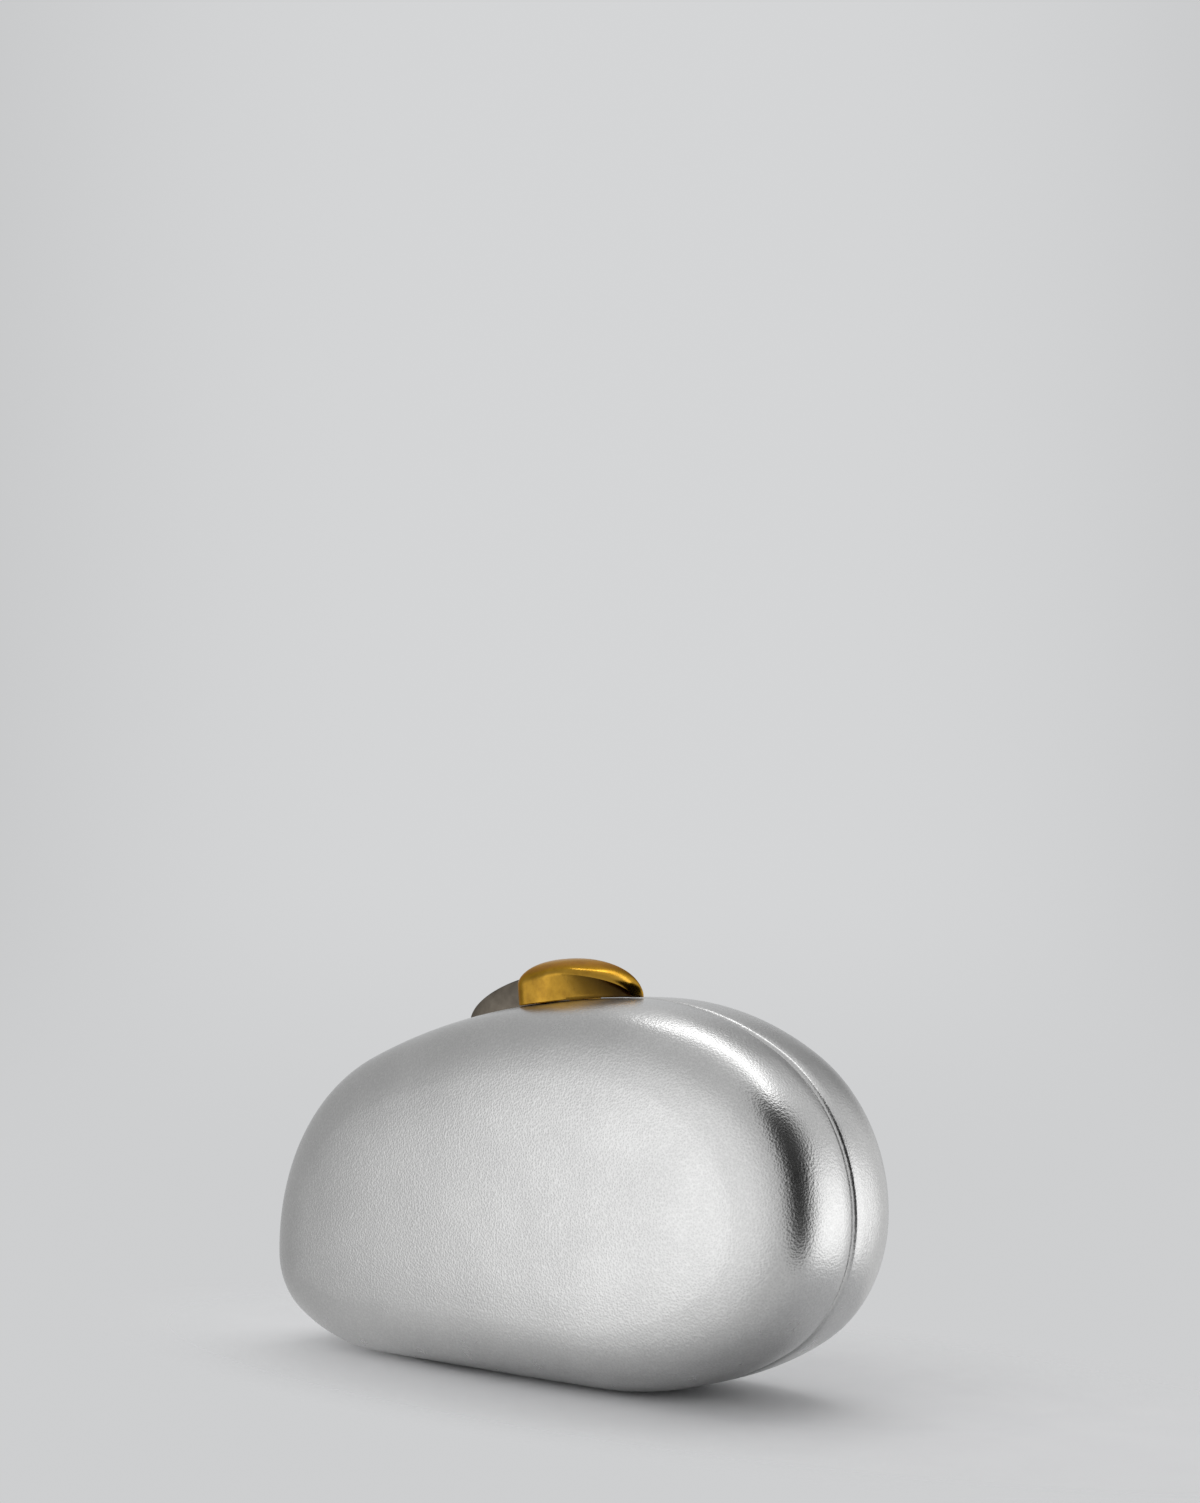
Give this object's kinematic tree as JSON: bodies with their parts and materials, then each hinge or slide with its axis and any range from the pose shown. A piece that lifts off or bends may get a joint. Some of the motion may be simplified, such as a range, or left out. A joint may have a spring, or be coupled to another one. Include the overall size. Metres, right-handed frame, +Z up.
{
  "type": "minaudiere",
  "caption": "Pebble-shaped hard-case evening clutch: leather-covered half shells hinged along the base, held shut on top by a split pebble clasp.",
  "frame": {"origin": "on the floor, in the seam plane between the two halves, half way along the width", "axes": "+Z up, -Y out of the front face, +X to the right along the width"},
  "size_m": [0.184, 0.062, 0.1063],
  "materials": {
    "silver_leather": "metallic silver leather, fine pebbled grain, satin sheen",
    "shell_board": "moulded, as formed",
    "frame_metal": "brushed, nickel tone",
    "lining_suede": "napped suede cloth",
    "hinge_metal": "satin",
    "antique_gold": "satin antique gold plating",
    "gunmetal": "satin brownish gunmetal plating",
    "spring_steel": "blued, ground"
  },
  "bodies": {
    "back_half": {"back_leather": "silver_leather", "back_shell": "shell_board", "back_frame": "frame_metal", "back_lining": "lining_suede", "back_hinge_leaf": "hinge_metal", "back_hinge_rivets": "hinge_metal", "hinge_pin": "hinge_metal", "back_return_spring": "spring_steel", "back_spring_rivet": "hinge_metal", "keeper": "frame_metal", "keeper_rivet": "hinge_metal"},
    "front_half": {"front_leather": "silver_leather", "front_shell": "shell_board", "front_frame": "frame_metal", "front_lining": "lining_suede", "front_hinge_leaf": "hinge_metal", "front_hinge_rivets": "hinge_metal", "front_return_spring": "spring_steel", "front_spring_rivet": "hinge_metal"},
    "gold_half": {"gold_clasp": "antique_gold", "gold_slider": "frame_metal", "gold_screws": "hinge_metal", "catch_spring": "spring_steel"},
    "gunmetal_half": {"gunmetal_clasp": "gunmetal", "gunmetal_slider": "frame_metal", "gunmetal_screws": "hinge_metal"}
  },
  "joints": [
    {"name": "case_opening", "type": "hinge", "parent": "back_half", "child": "front_half", "pos_m": [-0.015, 0, 0.0032], "axis": [1, 0, 0], "range_deg": [0, 56], "deforming": ["catch_spring"]},
    {"name": "gold_push", "type": "slide", "parent": "front_half", "child": "gold_half", "axis": [0.9967, 0, 0.0815], "range_m": [0, 0.0025], "stiffness_N_per_m": 500, "springref_m": -0.002, "deforming": ["front_return_spring"]},
    {"name": "gunmetal_push", "type": "slide", "parent": "back_half", "child": "gunmetal_half", "axis": [-0.976, 0, -0.218], "range_m": [0, 0.0025], "stiffness_N_per_m": 500, "springref_m": -0.002, "deforming": ["back_return_spring"]}
  ]
}
